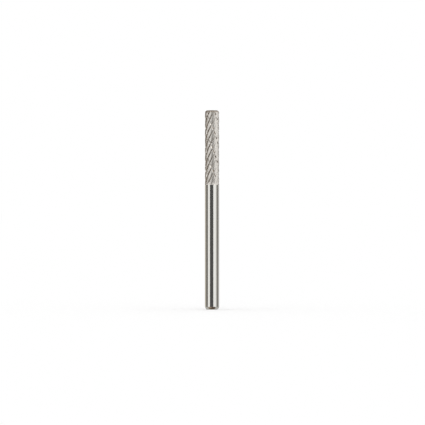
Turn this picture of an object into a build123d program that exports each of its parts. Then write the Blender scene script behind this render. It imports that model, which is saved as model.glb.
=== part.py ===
from build123d import *

import os
from math import acos, cos, degrees, pi, radians, sin, tan

# A carbide burr: a double-cut cylindrical head and its shank, ground from one rod of tungsten carbide.
# Millimetres. +Z runs up the axis from the shank's end to the tip, and the origin is the centre of the
# shank's end face. Seen from the tip the burr turns counter-clockwise, so its cutting faces look that way.
# The angles of the first tooth and breaker are those that their helices would have at Z = 0.

# The rod
rod_diameter = 3.175
overall_length = 44.45
tip_corner_radius = 0.45
shank_corner_radius = 0.65

# The head and its right-hand teeth
head_length = 16.6
head_undersize = 0.03
tooth_count = 9
tooth_helix_angle = 30.0
tooth_height = 0.24
gullet_width = 0.28
back_drop = 0.13
gullet_bevel = 0.05
gullet_run_out = 1.7
first_tooth_angle = 2.0

# The shallower left-hand grooves that break the chips, and how far short of the gullets they stop
breaker_count = 5
breaker_helix_angle = 23.0
breaker_depth = 0.18
breaker_included_angle = 110.0
breaker_run_out = 0.8
breaker_stop_gap = 1.3
first_breaker_angle = 30.0

# How far a cutter reaches past the metal it removes, and how far the head's metal is sunk in the shank's
overshoot = 0.25
overlap = 0.03

rod_radius = rod_diameter / 2
edge_radius = rod_radius - head_undersize / 2
gullet_radius = edge_radius - tooth_height
head_foot = overall_length - head_length
breaker_foot = head_foot + breaker_stop_gap


def polar(radius, angle):
    """A point of the cross-section, from its distance to the axis and its angle in degrees."""
    return Vector(radius * cos(radians(angle)), radius * sin(radians(angle)))


def twisted(section, bottom, top, helix_angle):
    """The section, drawn as it would lie at Z = 0, along a helix: right-hand where its angle is positive."""
    lead = pi * rod_diameter / tan(radians(helix_angle))
    length = top - bottom
    start = Location((0, 0, bottom), (0, 0, 360 * bottom / lead))
    turn = 360 * length / lead
    return start * Solid.extrude_linear_with_rotation(section.face(), (0, 0, 0), (0, 0, length), turn)


def wheel_arc(foot, length, deepest, outermost):
    """The arc that a grinding wheel leaves as it lifts out, through the rod's surface at its foot."""
    depth = rod_radius - deepest
    wheel_radius = (length**2 + depth**2) / (2 * depth)
    centre = Vector(deepest + wheel_radius, 0, foot + length)
    end_angle = acos((centre.X - outermost) / wheel_radius)
    start, middle, end = [
        centre - Vector(cos(angle), 0, sin(angle)) * wheel_radius
        for angle in (0, end_angle / 2, end_angle)
    ]
    return ThreePointArc(start, middle, end)


def turned(arc, bottom):
    """The solid of revolution under a wheel's arc, from the arc's top down to bottom."""
    top, side = arc @ 0, arc @ 1
    rest = Polyline(side, (side.X, 0, bottom), (0, 0, bottom), (0, 0, top.Z), top)
    return revolve(make_face(arc + rest), Axis.Z)


def shank():
    """The plain shank, rounded over at its end, up to where the gullets run out of the rod."""
    arc = wheel_arc(head_foot, gullet_run_out, gullet_radius - overlap, rod_radius)
    blank = turned(arc, 0)
    return fillet(blank.edges().group_by(Axis.Z)[0], shank_corner_radius)


def head_section():
    """The teeth across the axis: a cutting face along a radius, a narrow gullet and a long curved back."""
    pitch = 360 / tooth_count
    gullet_angle = degrees(gullet_width / edge_radius)
    sides = []
    for index in range(tooth_count):
        edge_angle = index * pitch
        heel_angle = edge_angle + gullet_angle
        next_angle = edge_angle + pitch
        root = polar(gullet_radius, edge_angle)
        heel = polar(edge_radius - back_drop, heel_angle)
        middle = polar(edge_radius - back_drop / 2, (heel_angle + next_angle) / 2)
        sides.append(Polyline(polar(edge_radius, edge_angle), root, heel))
        sides.append(ThreePointArc(heel, middle, polar(edge_radius, next_angle)))
    section = make_face(sides)
    gullets = [corner for corner in section.vertices() if Vector(corner).length < gullet_radius + overlap]
    return chamfer(gullets, gullet_bevel)


def head():
    """The toothed head, sunk a little in the shank, with its tip's corner rounded over."""
    teeth = twisted(head_section(), head_foot - overlap, overall_length + overshoot, tooth_helix_angle)
    blank = Cylinder(rod_radius, overall_length, align=(Align.CENTER, Align.CENTER, Align.MIN))
    blank = fillet(blank.edges().group_by(Axis.Z)[-1], tip_corner_radius)
    return Rot(0, 0, first_tooth_angle) * teeth & blank


def breaker_section():
    """One chip breaker across the axis: an even vee."""
    half_width = (breaker_depth + overshoot) * tan(radians(breaker_included_angle / 2))
    mouth = rod_radius + overshoot
    root = (rod_radius - breaker_depth, 0)
    return make_face(Polyline(root, (mouth, half_width), (mouth, -half_width), close=True))


def breakers():
    """The cutters for the chip breakers, each stopped where its wheel lifts out."""
    bottom = breaker_foot - overshoot
    arc = wheel_arc(breaker_foot, breaker_run_out, rod_radius - breaker_depth, rod_radius + overshoot)
    breaker = twisted(breaker_section(), bottom, overall_length + overshoot, -breaker_helix_angle)
    breaker -= turned(arc, bottom - overshoot)
    turns = [first_breaker_angle + index * 360 / breaker_count for index in range(breaker_count)]
    return [Rot(0, 0, turn) * breaker for turn in turns]


burr = shank() + head() - breakers()

os.makedirs("parts", exist_ok=True)
export_step(burr, "parts/burr.step")
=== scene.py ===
import math
import bpy
import numpy as np
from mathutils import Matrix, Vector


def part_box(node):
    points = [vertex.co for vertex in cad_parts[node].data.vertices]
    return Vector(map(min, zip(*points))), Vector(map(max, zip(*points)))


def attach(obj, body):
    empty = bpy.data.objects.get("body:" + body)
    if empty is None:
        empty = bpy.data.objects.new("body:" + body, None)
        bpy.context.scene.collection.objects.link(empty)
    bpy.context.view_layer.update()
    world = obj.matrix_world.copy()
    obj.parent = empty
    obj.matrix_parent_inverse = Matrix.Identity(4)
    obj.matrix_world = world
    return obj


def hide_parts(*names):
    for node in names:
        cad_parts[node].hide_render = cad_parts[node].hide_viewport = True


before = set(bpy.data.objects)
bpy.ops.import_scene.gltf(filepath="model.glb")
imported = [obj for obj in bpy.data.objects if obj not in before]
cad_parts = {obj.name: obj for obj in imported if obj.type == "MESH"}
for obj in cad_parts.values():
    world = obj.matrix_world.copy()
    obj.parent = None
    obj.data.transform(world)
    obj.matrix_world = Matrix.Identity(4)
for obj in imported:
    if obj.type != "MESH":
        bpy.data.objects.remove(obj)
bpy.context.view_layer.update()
millimetre = 0.001
lowCorner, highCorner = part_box("burr")
rodRadius = (highCorner.x - lowCorner.x) / 2 / millimetre
fullLength = (highCorner.z - lowCorner.z) / millimetre
print("frame loaded: rod radius", round(rodRadius, 4), "mm, length", round(fullLength, 3), "mm")

# the burr, in millimetres and degrees
burrSizes = {
    "headLength": 16.6,
    "undersize": 0.03,  # of the head's diameter, below the shank's
    "tipCorner": 0.6,
    "shankCorner": 0.65,
    "teeth": 9,
    "toothHelix": 30.0,  # right-hand
    "toothHeight": 0.24,
    "faceLean": 3.0,  # of the cutting face, from the radius
    "gulletWidth": 0.28,  # from an edge to the heel of the tooth in front of it
    "backDrop": 0.13,  # from the edge down to the heel
    "backBow": 1.6,  # the power of the distance behind its edge with which a back falls
    "edgeCut": 0.008,  # how far from its corner each rounding starts: on the edge,
    "gulletCut": 0.07,  # in the gullet,
    "heelCut": 0.04,  # and on the heel
    "gulletRunOut": 1.7,  # the height in which the gullets' wheel lifts out
    "gulletSunk": 0.03,  # how far that wheel's lowest point is below the gullets
    "gulletBlend": 0.006,  # rounding where its arc meets the teeth
    "firstTooth": 2.0,  # where its helix, and the first breaker's, would be at height nought
    "breakers": 5,
    "breakerHelix": 23.0,  # left-hand
    "breakerDepth": 0.15,
    "breakerAngle": 118.0,  # between its two flanks
    "breakerRound": 0.02,  # rounding at its bottom,
    "breakerBlend": 0.004,  # and along its mouth
    "breakerFade": 0.01,  # the depth over which its own finish comes in
    "breakerRunOut": 0.8,
    "breakerGap": 1.3,  # from the head's foot up to where the breakers lift out
    "firstBreaker": 30.0,
    "sharpAngle": 35.0,  # between faces that shade as a sharp edge
    # how finely the skin is divided
    "cornerSteps": 11,
    "shankSteps": 26,
    "shankLastRings": (0.05, 0.015, 0.005, 0.0),  # below the head's foot
    "gatherLength": 1.2,  # of shank in which its even columns move over to the teeth's
    "edgeSteps": 4,
    "faceShares": (0.1, 0.5, 0.9),  # of the way down the cutting face
    "gulletSteps": 6,
    "flankShares": (0.5,),  # of the way from the gullet to the heel
    "heelSteps": 4,
    "backSteps": 14,
    "breakerSteps": 20,
    "breakerReach": 11.0,  # degrees each side of a breaker that have the finer rows
    "landSteps": 13,  # between two breakers' finer rows
    "weldGap": 0.004,  # nearer than this, a point of the head joins the ring below or above
}
clearRadius = 9.0  # far outside the rod, where a cutter touches nothing
leastSpread = 0.2  # a breaker's flank has left the rod long before this


def turnRate(helix):
    # degrees turned per millimetre of height by a groove on the rod's surface:
    # the tangent of its helix angle over the rod's radius
    return math.degrees(math.tan(math.radians(helix)) / rodRadius)


def softMin(first, second, width):
    # the lower of two radii with their crossing rounded off:
    # half of their sum, less half of the root of their difference squared plus the width squared
    return 0.5 * (first + second - np.sqrt((first - second) ** 2 + width**2))


def softMax(first, second, width):
    # the higher of two radii, rounded off in the same way
    return -softMin(-first, -second, width)


def cartesian(angle, radius, height):
    # points from their angle in degrees round the axis: radius times its cosine and sine, and height
    turn = np.radians(angle)
    places = np.broadcast_arrays(radius * np.cos(turn), radius * np.sin(turn), height)
    return np.stack(places, -1).reshape(-1, 3)


def straight(start, end, shares):
    # points of the straight run between two points, at these shares of it
    return start + (end - start) * np.array(shares)[:, None]


def rounded(before, corner, after, cut, steps):
    # a corner rounded off between the points that lie the cut away from it on its two sides:
    # the parabola (1-t)^2 start + 2t(1-t) corner + t^2 end
    start, end = [corner + (side - corner) * cut / np.linalg.norm(side - corner) for side in (before, after)]
    share = np.linspace(0, 1, steps + 1)[:, None]
    return (1 - share) ** 2 * start + 2 * share * (1 - share) * corner + share**2 * end


def toothSection(size):
    # the section across the axis from one edge to the next: cutting face, gullet, heel and the back that
    # climbs to the next edge, whose radius is the edge's less the drop times a power of the share of the
    # back still to go; gives the angle and the radius of each column
    edge = rodRadius - size["undersize"] / 2
    floor = edge - size["toothHeight"]
    pitch = 360 / size["teeth"]
    backTurn = pitch - math.degrees(size["gulletWidth"] / edge)
    lean = math.degrees(size["toothHeight"] * math.tan(math.radians(size["faceLean"])) / floor)

    share = np.linspace(1, 0, size["backSteps"] + 1)
    backRadius = edge - size["backDrop"] * share ** size["backBow"]
    back = cartesian(pitch - share * backTurn, backRadius, 0)
    backBefore = cartesian(-share[-2] * backTurn, backRadius[-2], 0)[0]
    lip = cartesian(0, edge, 0)[0]
    root = cartesian(lean, floor, 0)[0]

    lipPath = rounded(backBefore, lip, root, size["edgeCut"], size["edgeSteps"])
    rootPath = rounded(lip, root, back[0], size["gulletCut"], size["gulletSteps"])
    heelPath = rounded(root, back[0], back[1], size["heelCut"], size["heelSteps"])
    face = straight(lipPath[-1], rootPath[0], size["faceShares"])
    flank = straight(rootPath[-1], heelPath[0], size["flankShares"])
    path = np.concatenate([lipPath, face, rootPath, flank, heelPath, back[1:-1]])
    return np.degrees(np.arctan2(path[:, 1], path[:, 0])), np.hypot(path[:, 0], path[:, 1])


def wheelFloor(height, foot, length, deepest):
    # radius of the floor that a grinding wheel leaves as it lifts out, which is the wheel's own arc, level
    # at its deepest and through the rod's surface at the foot: deepest + wheel - root of (wheel^2 - drop^2),
    # with the drop from where the arc is level
    depth = rodRadius - deepest
    wheel = (length**2 + depth**2) / (2 * depth)
    furthest = 0.999 * wheel  # far below the foot, just before the arc ends
    drop = np.clip(foot + length - height, 0, furthest)
    return deepest + wheel - np.sqrt(wheel**2 - drop**2)


def veeFloor(off, size):
    # radius of a chip breaker's flanks at an angle off its middle: its bottom's radius over (the cosine of
    # that angle - its sine over the tangent of half the vee's angle), the sine rounded off near nought
    off = np.radians(off)
    blunt = size["breakerRound"] / rodRadius
    away = np.sqrt(np.sin(off) ** 2 + blunt**2) - blunt
    spread = np.cos(off) - away / math.tan(math.radians(size["breakerAngle"] / 2))
    flank = (rodRadius - size["breakerDepth"]) / np.maximum(spread, leastSpread)
    return np.where(spread > leastSpread, flank, clearRadius)


def headSurface(toothAngle, toothRadius, height, size):
    # the head at any column and height: the teeth's section turned with height, no deeper than the
    # gullets' wheel goes, cut by the breakers and kept within the tip's quarter circle;
    # gives each point's angle and radius, and how far it belongs to a breaker, from 0 to 1
    foot = fullLength - size["headLength"]
    edge = rodRadius - size["undersize"] / 2
    angle = toothAngle + size["firstTooth"] + turnRate(size["toothHelix"]) * height
    deepest = edge - size["toothHeight"] - size["gulletSunk"]
    floor = wheelFloor(height, foot, size["gulletRunOut"], deepest)
    teeth = np.minimum(softMax(toothRadius, floor, size["gulletBlend"]), edge)

    breakerFoot = foot + size["breakerGap"]
    pitch = 360 / size["breakers"]
    off = angle - size["firstBreaker"] + turnRate(size["breakerHelix"]) * height
    off = (off + pitch / 2) % pitch - pitch / 2
    lift = wheelFloor(height, breakerFoot, size["breakerRunOut"], rodRadius - size["breakerDepth"])
    vee = np.where(height > breakerFoot, np.maximum(veeFloor(off, size), lift), clearRadius)
    breakerCut = np.clip((teeth - vee) / size["breakerFade"] + 0.5, 0, 1)

    corner = size["tipCorner"]
    up = np.clip(height - (fullLength - corner), 0, corner)
    limit = rodRadius - corner + np.sqrt(corner**2 - up**2)
    return angle, np.minimum(softMin(teeth, vee, size["breakerBlend"]), limit), breakerCut


def shankSurface(toothAngle, size):
    # the shank: a quarter circle at its end, then straight up, while its even columns move over to the
    # teeth's by the square of the share of the last stretch; gives each point's angle, radius and height
    foot = fullLength - size["headLength"]
    corner = size["shankCorner"]
    quarter = np.linspace(0, math.pi / 2, size["cornerSteps"] + 1)
    lastRings = foot - np.array(size["shankLastRings"])
    side = np.concatenate([np.linspace(corner, lastRings[0], size["shankSteps"] + 1)[1:], lastRings[1:]])
    height = np.concatenate([corner * (1 - np.cos(quarter)), side])
    radius = np.concatenate([rodRadius - corner + corner * np.sin(quarter), np.full(len(side), rodRadius)])
    columns = len(toothAngle)
    even = np.arange(columns) * 360 / columns + toothAngle[0]
    gather = np.clip((height - foot) / size["gatherLength"] + 1, 0, 1) ** 2
    section = even + (toothAngle - even) * gather[:, None]
    angle = section + size["firstTooth"] + turnRate(size["toothHelix"]) * foot
    return angle, radius[:, None], height[:, None]


def tipHeights(size):
    # heights of the rings round the tip's corner: the full length less what its quarter circle lacks
    quarter = np.linspace(0, math.pi / 2, size["cornerSteps"] + 1)
    return (fullLength - size["tipCorner"] * (1 - np.sin(quarter)))[:, None]


def gridHeights(toothAngle, size):
    # heights on a slanting grid over the head, whose columns run along the teeth and rows along the
    # breakers. A column or a row goes by its angle at height nought, so that
    # height = (row's angle - column's angle) / sum of the two turn rates;
    # gives the heights, and how many rows go to a whole turn
    foot = fullLength - size["headLength"]
    top = fullLength - size["tipCorner"]
    rate = turnRate(size["toothHelix"]) + turnRate(size["breakerHelix"])
    pitch = 360 / size["breakers"]
    reach = size["breakerReach"]
    groove = np.linspace(-reach, reach, size["breakerSteps"] + 1)
    land = np.linspace(reach, pitch - reach, size["landSteps"] + 1)[1:-1]
    onePitch = np.concatenate([groove, land])
    column = toothAngle + size["firstTooth"]
    start = size["firstBreaker"]
    lowest = math.floor((column.min() - start + rate * foot) / pitch) - 1
    highest = math.ceil((column.max() - start + rate * top) / pitch) + 1
    row = (start + np.arange(lowest, highest)[:, None] * pitch + onePitch).ravel()
    return (row[:, None] - column) / rate, len(onePitch) * size["breakers"]


def numberGrid(height, size, footRing, tipRing, firstFree):
    # the number of each point of the slanting grid: its own where it lies free between the head's foot and
    # the tip's corner, and elsewhere its column's, in the foot's ring below or in the tip's ring above
    low = fullLength - size["headLength"] + size["weldGap"]
    high = fullLength - size["tipCorner"] - size["weldGap"]
    column = np.arange(height.shape[1])
    number = np.where(height <= low, footRing + column, tipRing + column)
    free = (height > low) & (height < high)
    number[free] = firstFree + np.arange(free.sum())
    return number, free


def quads(lowLeft, lowRight, highRight, highLeft):
    # two triangles for each four-sided face, counter-clockwise as seen from outside
    halves = (lowLeft, lowRight, highRight), (lowLeft, highRight, highLeft)
    return np.concatenate([np.stack(half, -1).reshape(-1, 3) for half in halves])


def ringFaces(firstPoint, rings, columns):
    # the faces between rings of points that follow each other up the axis
    low = firstPoint + np.arange(rings - 1)[:, None] * columns
    left = np.arange(columns)
    right = (left + 1) % columns
    return quads(low + left, low + right, low + columns + right, low + columns + left)


def gridFaces(number, rowsPerTurn):
    # the faces of the slanting grid, which closes round the rod with a shift: its last column meets its
    # first with a whole turn of rows between them
    inner = quads(number[:-1, :-1], number[:-1, 1:], number[1:, 1:], number[1:, :-1])
    last = number[rowsPerTurn:, -1]
    first = number[:-rowsPerTurn, 0]
    return np.concatenate([inner, quads(last[:-1], first[:-1], first[1:], last[1:])])


def endFaces(first, second, pole):
    # triangles from each two neighbours of a ring to the pole in its middle
    return np.stack([first, second, np.full(len(first), pole)], -1)


def burrSkin(size):
    # the burr's points and triangles: rings up the shank, rings round the tip's corner, the slanting grid
    # between them, and a pole in the middle of each end; and how far each point belongs to a breaker
    sectionAngle, sectionRadius = toothSection(size)
    pitch = 360 / size["teeth"]
    toothAngle = (np.arange(size["teeth"])[:, None] * pitch + sectionAngle).ravel()
    toothRadius = np.tile(sectionRadius, size["teeth"])
    columns = len(toothAngle)

    shankPoints = cartesian(*shankSurface(toothAngle, size))
    tipHeight = tipHeights(size)
    tipAngle, tipRadius, tipCut = headSurface(toothAngle, toothRadius, tipHeight, size)
    tipPoints = cartesian(tipAngle, tipRadius, tipHeight)

    tipStart = len(shankPoints)
    freeStart = tipStart + len(tipPoints)
    height, rowsPerTurn = gridHeights(toothAngle, size)
    number, free = numberGrid(height, size, tipStart - columns, tipStart, freeStart)
    angle, radius, cut = headSurface(toothAngle, toothRadius, height, size)
    freePoints = cartesian(angle[free], radius[free], height[free])

    poles = np.array([[0, 0, 0], [0, 0, fullLength]])
    points = np.concatenate([shankPoints, tipPoints, freePoints, poles])
    breakerCut = np.concatenate([np.zeros(tipStart), tipCut.ravel(), cut[free], np.zeros(len(poles))])
    lowPole, highPole = len(points) - 2, len(points) - 1
    ring = np.arange(columns)
    nextInRing = np.roll(ring, -1)
    lastRing = freeStart - columns
    faces = np.concatenate([
        ringFaces(0, tipStart // columns, columns),
        gridFaces(number, rowsPerTurn),
        ringFaces(tipStart, len(tipPoints) // columns, columns),
        endFaces(nextInRing, ring, lowPole),
        endFaces(lastRing + ring, lastRing + nextInRing, highPole),
    ])
    # where the grid joins a ring, some triangles have shrunk to a line
    whole = (faces != np.roll(faces, 1, 1)).all(1)
    return points, faces[whole], breakerCut


def addAttribute(mesh, name, values):
    # one number for each point, for the material to read
    mesh.attributes.new(name, "FLOAT", "POINT").data.foreach_set("value", values.astype(np.float32))


def buildBurr(size):
    # the skin as one mesh, with each point's share in a breaker and its depth in a gullet, which is
    # (rod's radius - its own) / teeth's height, and nought on the shank
    points, faces, breakerCut = burrSkin(size)
    mesh = bpy.data.meshes.new("carbideBurr")
    mesh.from_pydata((points * millimetre).tolist(), [], faces.tolist())
    mesh.polygons.foreach_set("use_smooth", np.ones(len(faces), bool))
    depth = np.clip((rodRadius - np.hypot(points[:, 0], points[:, 1])) / size["toothHeight"], 0, 1)
    addAttribute(mesh, "breakerCut", breakerCut)
    # the gullet depth sets how much painted shade the material puts into the gullets
    addAttribute(mesh, "gulletDepth", depth * (points[:, 2] > fullLength - size["headLength"]))
    mesh.set_sharp_from_angle(angle=math.radians(size["sharpAngle"]))
    mesh.update()
    mesh.validate(verbose=True)
    piece = bpy.data.objects.new("carbideBurr", mesh)
    bpy.context.scene.collection.objects.link(piece)
    print("carbideBurr:", len(points), "points,", len(faces), "triangles")
    return piece


burr = buildBurr(burrSizes)

# the finish: metal ground all over, finer on the shank than on the head; scales are per metre
finish = {
    "shankColour": (0.80, 0.79, 0.75),
    "headColour": (0.76, 0.73, 0.685),
    # painted shade: a darker colour for the gullets' bottoms, where shade falls
    "gulletPaintedShade": (0.66, 0.63, 0.59),
    # painted shade: a darker, browner colour over the tip's rounded corner
    "tipPaintedShade": (0.5, 0.44, 0.38),
    "tipShadeFade": 0.6,  # the share of the tip's corner in which its painted shade comes in
    "shankRoughness": 0.10,
    "headRoughness": 0.38,
    "breakerRoughness": 0.18,
    "roughnessSwing": 0.1,  # how far the streaks change the roughness
    "ringScale": (500, 500, 16000),  # round the shank and up it
    "streakScale": (7000, 7000, 250),  # across the head's grooves and up them
    "noiseDetail": 4.0,
    "noiseRoughness": 0.6,
    "bumpHeight": 3e-6,
}
mixSockets = {"FLOAT": (0, 2, 3, 0), "RGBA": (0, 6, 7, 2)}  # a mix node's share, two inputs and output


def addNode(tree, kind, **values):
    # a node with its settings
    made = tree.nodes.new(kind)
    for name, value in values.items():
        setattr(made, name, value)
    return made


def feed(tree, socket, value):
    # a colour or a number is set on the socket, and another node's output is linked to it
    if isinstance(value, tuple):
        socket.default_value = (*value, 1)
    elif isinstance(value, (int, float)):
        socket.default_value = value
    else:
        tree.links.new(value, socket)


def calculate(tree, operation, first, second):
    # one sum, product or comparison of two values
    made = addNode(tree, "ShaderNodeMath", operation=operation)
    feed(tree, made.inputs[0], first)
    feed(tree, made.inputs[1], second)
    return made.outputs[0]


def mix(tree, kind, share, first, second):
    # first where the share is 0 and second where it is 1: (1 - share) first + share second
    made = addNode(tree, "ShaderNodeMix", data_type=kind)
    *places, result = mixSockets[kind]
    for place, value in zip(places, (share, first, second)):
        feed(tree, made.inputs[place], value)
    return made.outputs[result]


def streaks(tree, place, scale, look, name):
    # noise drawn out along the way the wheel went, by a scale that is lower that way
    mapping = addNode(tree, "ShaderNodeMapping", name=name)
    mapping.inputs["Scale"].default_value = scale
    noise = addNode(tree, "ShaderNodeTexNoise")
    noise.inputs["Scale"].default_value = 1.0
    noise.inputs["Detail"].default_value = look["noiseDetail"]
    noise.inputs["Roughness"].default_value = look["noiseRoughness"]
    tree.links.new(place, mapping.inputs["Vector"])
    tree.links.new(mapping.outputs[0], noise.inputs["Vector"])
    return noise.outputs[0]


def untwisted(tree, place, height, rate):
    # the place turned back about the axis by what a groove has turned at its height: rate times height
    turn = addNode(tree, "ShaderNodeVectorRotate", rotation_type="Z_AXIS")
    tree.links.new(place, turn.inputs["Vector"])
    back = calculate(tree, "MULTIPLY", height, -math.radians(rate) / millimetre)
    tree.links.new(back, turn.inputs["Angle"])
    return turn.outputs[0]


def groundCarbide(look, size):
    # bare metal: fine rings on the shank, and streaks along the flutes and along the breakers on the head,
    # with painted shade that darkens the gullets, and painted brown shade round the tip
    material = bpy.data.materials.new("groundCarbide")
    material.use_nodes = True
    tree = material.node_tree
    shader = tree.nodes["Principled BSDF"]
    shader.inputs["Metallic"].default_value = 1.0

    place = addNode(tree, "ShaderNodeTexCoord").outputs["Object"]
    split = addNode(tree, "ShaderNodeSeparateXYZ")
    tree.links.new(place, split.inputs[0])
    height = split.outputs["Z"]
    isHead = calculate(tree, "GREATER_THAN", height, (fullLength - size["headLength"]) * millimetre)
    isCut = addNode(tree, "ShaderNodeAttribute", attribute_name="breakerCut").outputs["Fac"]
    isDeep = addNode(tree, "ShaderNodeAttribute", attribute_name="gulletDepth").outputs["Fac"]

    rings = streaks(tree, place, look["ringScale"], look, "rings")
    alongFlutes = untwisted(tree, place, height, turnRate(size["toothHelix"]))
    alongBreakers = untwisted(tree, place, height, -turnRate(size["breakerHelix"]))
    flutes = streaks(tree, alongFlutes, look["streakScale"], look, "flutes")
    breakers = streaks(tree, alongBreakers, look["streakScale"], look, "breakers")
    lines = mix(tree, "FLOAT", isHead, rings, mix(tree, "FLOAT", isCut, flutes, breakers))

    bump = addNode(tree, "ShaderNodeBump")
    bump.inputs["Strength"].default_value = 1.0
    bump.inputs["Distance"].default_value = look["bumpHeight"]
    tree.links.new(lines, bump.inputs["Height"])
    tree.links.new(bump.outputs[0], shader.inputs["Normal"])

    # painted shade: the tip's rounded corner darkened and browned from where the corner starts
    corner = (fullLength - size["tipCorner"]) * millimetre
    rim = addNode(tree, "ShaderNodeMapRange", interpolation_type="SMOOTHSTEP")
    rim.inputs["From Min"].default_value = corner
    rim.inputs["From Max"].default_value = corner + look["tipShadeFade"] * size["tipCorner"] * millimetre
    tree.links.new(height, rim.inputs["Value"])
    # painted shade: the head's colour darkened towards the gullets' bottoms
    teethColourAndShade = mix(tree, "RGBA", isDeep, look["headColour"], look["gulletPaintedShade"])
    headColour = mix(tree, "RGBA", rim.outputs["Result"], teethColourAndShade, look["tipPaintedShade"])
    tree.links.new(mix(tree, "RGBA", isHead, look["shankColour"], headColour), shader.inputs["Base Color"])

    headRoughness = mix(tree, "FLOAT", isCut, look["headRoughness"], look["breakerRoughness"])
    plain = mix(tree, "FLOAT", isHead, look["shankRoughness"], headRoughness)
    swing = calculate(tree, "MULTIPLY", calculate(tree, "SUBTRACT", lines, 0.5), look["roughnessSwing"])
    tree.links.new(calculate(tree, "ADD", plain, swing), shader.inputs["Roughness"])
    return material


burr.data.materials.append(groundCarbide(finish, burrSizes))
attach(burr, "root")
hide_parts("burr")
print("burr finished")

# the studio, in metres and degrees: even white light, a pale floor, and flags and lids round the burr that
# only its reflections show
studio = {
    # each flag's start and end, round the burr from the camera with right positive, its low and high edge,
    # from the level of the burr's middle, and its colour
    "flags": {
        "front": (-35, 21, -12, 12, (0.09, 0.09, 0.09)),
        "frontAbove": (-30, 14, 12, 30, (0.38, 0.38, 0.37)),
        "left": (-116, -69, -12, 6, (0.21, 0.2, 0.185)),
        "farLeft": (-180, -116, -8, 6, (0.56, 0.52, 0.46)),
        "nearRight": (67, 88, -12, 6, (0.5, 0.49, 0.47)),
        "right": (88, 113, -12, 6, (0.17, 0.16, 0.15)),
        "farRight": (113, 180, -12, 8, (0.54, 0.53, 0.52)),
        "behind": (125, 250, 8, 60, (0.14, 0.1, 0.07)),
        "ground": (60, 290, -60, -12, (0.5, 0.49, 0.47)),
        "leftGround": (-70, -12, -60, -12, (0.32, 0.26, 0.2)),
        "frontGround": (-12, 60, -60, -12, (0.12, 0.09, 0.07)),
        "lamp": (44, 55, 22, 34, (2.8, 2.75, 2.65)),
    },
    "flagDistance": 0.3,
    "flagSteps": 48,
    "upperLid": (0.38, 0.34, 0.29),
    "lowerLid": (0.12, 0.09, 0.06),
    "lidSlope": 60,  # up or down from the burr's foot to the lid's level at the flags' distance
    "lidSpread": 1.1,  # a lid's half width over the flags' distance
    "floorHalfWidth": 12.0,
    "floorGrey": 0.93,
}


def glowing(name, colour):
    # light of one colour, the same from all sides
    material = bpy.data.materials.new(name)
    material.use_nodes = True
    tree = material.node_tree
    tree.nodes.clear()
    glow = addNode(tree, "ShaderNodeEmission")
    feed(tree, glow.inputs["Color"], colour)
    tree.links.new(glow.outputs[0], addNode(tree, "ShaderNodeOutputMaterial").inputs["Surface"])
    return material


def stagePiece(name, points, faces, material):
    # a piece of the studio, from arrays of points and faces
    mesh = bpy.data.meshes.new(name)
    mesh.from_pydata(points.tolist(), [], faces.tolist())
    mesh.materials.append(material)
    piece = bpy.data.objects.new(name, mesh)
    bpy.context.scene.collection.objects.link(piece)
    return piece


def onlyReflected(piece):
    # leaves a piece visible in reflections alone
    piece.visible_camera = False
    piece.visible_diffuse = False
    piece.visible_shadow = False
    piece.visible_transmission = False


def flag(name, place, room):
    # an upright strip bent round the burr: distance times (sin a, -cos a) for a from start to end, between
    # the heights that distance times the tangents of low and high give
    start, end, low, high, colour = place
    distance = room["flagDistance"]
    steps = room["flagSteps"]
    turn = np.radians(np.linspace(start, end, steps + 1))
    ring = np.stack([distance * np.sin(turn), -distance * np.cos(turn), np.zeros(steps + 1)], -1)
    middle = fullLength / 2 * millimetre
    bottom, top = [middle + distance * math.tan(math.radians(slope)) for slope in (low, high)]
    points = np.concatenate([ring + (0, 0, bottom), ring + (0, 0, top)])
    left = np.arange(steps)
    faces = np.stack([left, left + 1, left + steps + 2, left + steps + 1], -1)
    onlyReflected(stagePiece(name, points, faces, glowing(name, colour)))


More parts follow.
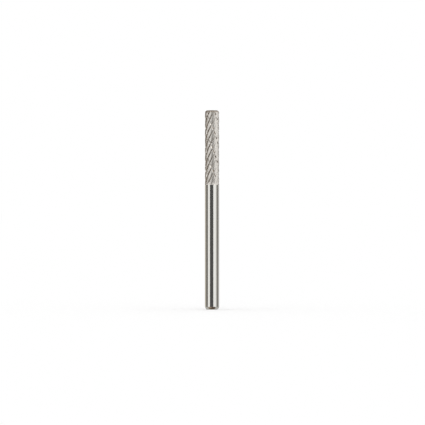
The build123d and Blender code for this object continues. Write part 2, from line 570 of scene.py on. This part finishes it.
def level(name, halfWidth, height, material):
    # a level square: the corners (+-1, +-1, 0) times its half width, at a height
    corners = np.array([[-1, -1, 0], [1, -1, 0], [1, 1, 0], [-1, 1, 0]])
    return stagePiece(name, corners * halfWidth + (0, 0, height), np.array([[0, 1, 2, 3]]), material)


def floorPaper(room):
    # matt paper: white to the camera, and a little darker in the light that it throws back
    material = bpy.data.materials.new("floorPaper")
    material.use_nodes = True
    tree = material.node_tree
    shader = tree.nodes["Principled BSDF"]
    shader.inputs["Roughness"].default_value = 1.0
    shader.inputs["Specular IOR Level"].default_value = 0.0
    isCamera = addNode(tree, "ShaderNodeLightPath").outputs["Is Camera Ray"]
    colour = mix(tree, "RGBA", isCamera, (room["floorGrey"],) * 3, (1, 1, 1))
    tree.links.new(colour, shader.inputs["Base Color"])
    return material


for name, place in studio["flags"].items():
    flag(name, place, studio)
lidHeight = studio["flagDistance"] * math.tan(math.radians(studio["lidSlope"]))
lidHalfWidth = studio["flagDistance"] * studio["lidSpread"]
for name, height in (("upperLid", lidHeight), ("lowerLid", -lidHeight)):
    onlyReflected(level(name, lidHalfWidth, height, glowing(name, studio[name])))
floorPiece = level("floor", studio["floorHalfWidth"], 0, floorPaper(studio))
floorPiece.visible_glossy = False

scene = bpy.context.scene
scene.view_settings.view_transform = "Standard"
scene.world = bpy.data.worlds.new("studioLight")
scene.world.use_nodes = True
scene.world.cycles.sampling_method = "NONE"
background = scene.world.node_tree.nodes["Background"]
background.inputs["Color"].default_value = (1, 1, 1, 1)
background.inputs["Strength"].default_value = 1.0
print("studio ready:", len(studio["flags"]), "flags")

# the camera: level and square to the axis; lens and sensor in millimetres, the rest in metres
view = {
    "lens": 250.0,
    "sensor": 36.0,
    "frameHeight": 0.0949,  # that a square picture takes in at the burr's distance
    "aside": 0.0001,
    "height": 0.02166,
    "clip": (0.01, 50),
}
camera = bpy.data.objects.new("camera", bpy.data.cameras.new("camera"))
scene.collection.objects.link(camera)
camera.data.lens = view["lens"]
camera.data.sensor_width = view["sensor"]
camera.data.clip_start, camera.data.clip_end = view["clip"]
camera.location = (view["aside"], -view["frameHeight"] * view["lens"] / view["sensor"], view["height"])
camera.rotation_euler = (math.pi / 2, 0, 0)
scene.camera = camera
print("camera placed")
